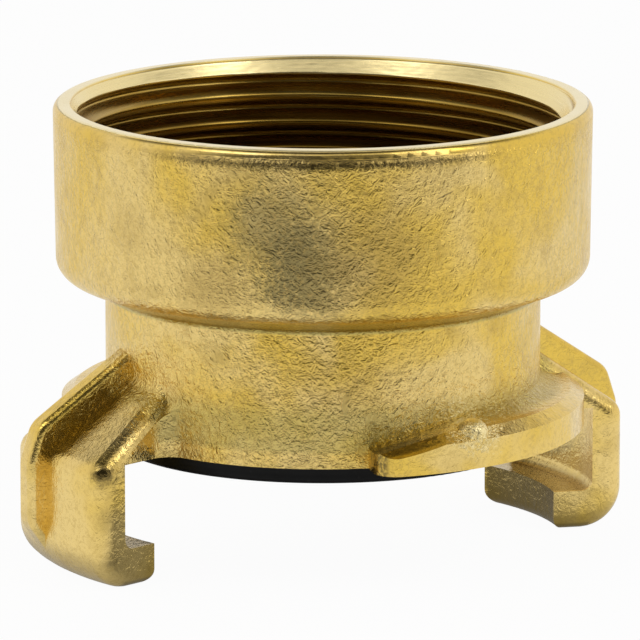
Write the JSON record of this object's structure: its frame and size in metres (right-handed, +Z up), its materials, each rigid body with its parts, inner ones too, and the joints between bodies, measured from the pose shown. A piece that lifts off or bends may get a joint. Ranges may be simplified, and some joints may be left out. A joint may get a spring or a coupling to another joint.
{
  "type": "quarter-turn hose coupling half with female pipe thread",
  "caption": "Brass quarter-turn claw coupling half with a female pipe thread on top, hooked claws, ramped cam flanges and a black rubber face seal.",
  "frame": {"origin": "on the axis, in the plane of the claws' lowest faces, on which the coupling stands", "axes": "+Z up the axis and out of the threaded mouth, +X and -X through the middles of the claws"},
  "size_m": [0.0548, 0.045, 0.0378],
  "materials": {
    "coupling_body": "forged and shot-blasted outside, turned at the rim, bore and lips",
    "seal_ring": "moulded, satin black"
  },
  "bodies": {
    "root": {"coupling_body": "coupling_body", "seal_ring": "seal_ring"}
  },
  "joints": []
}
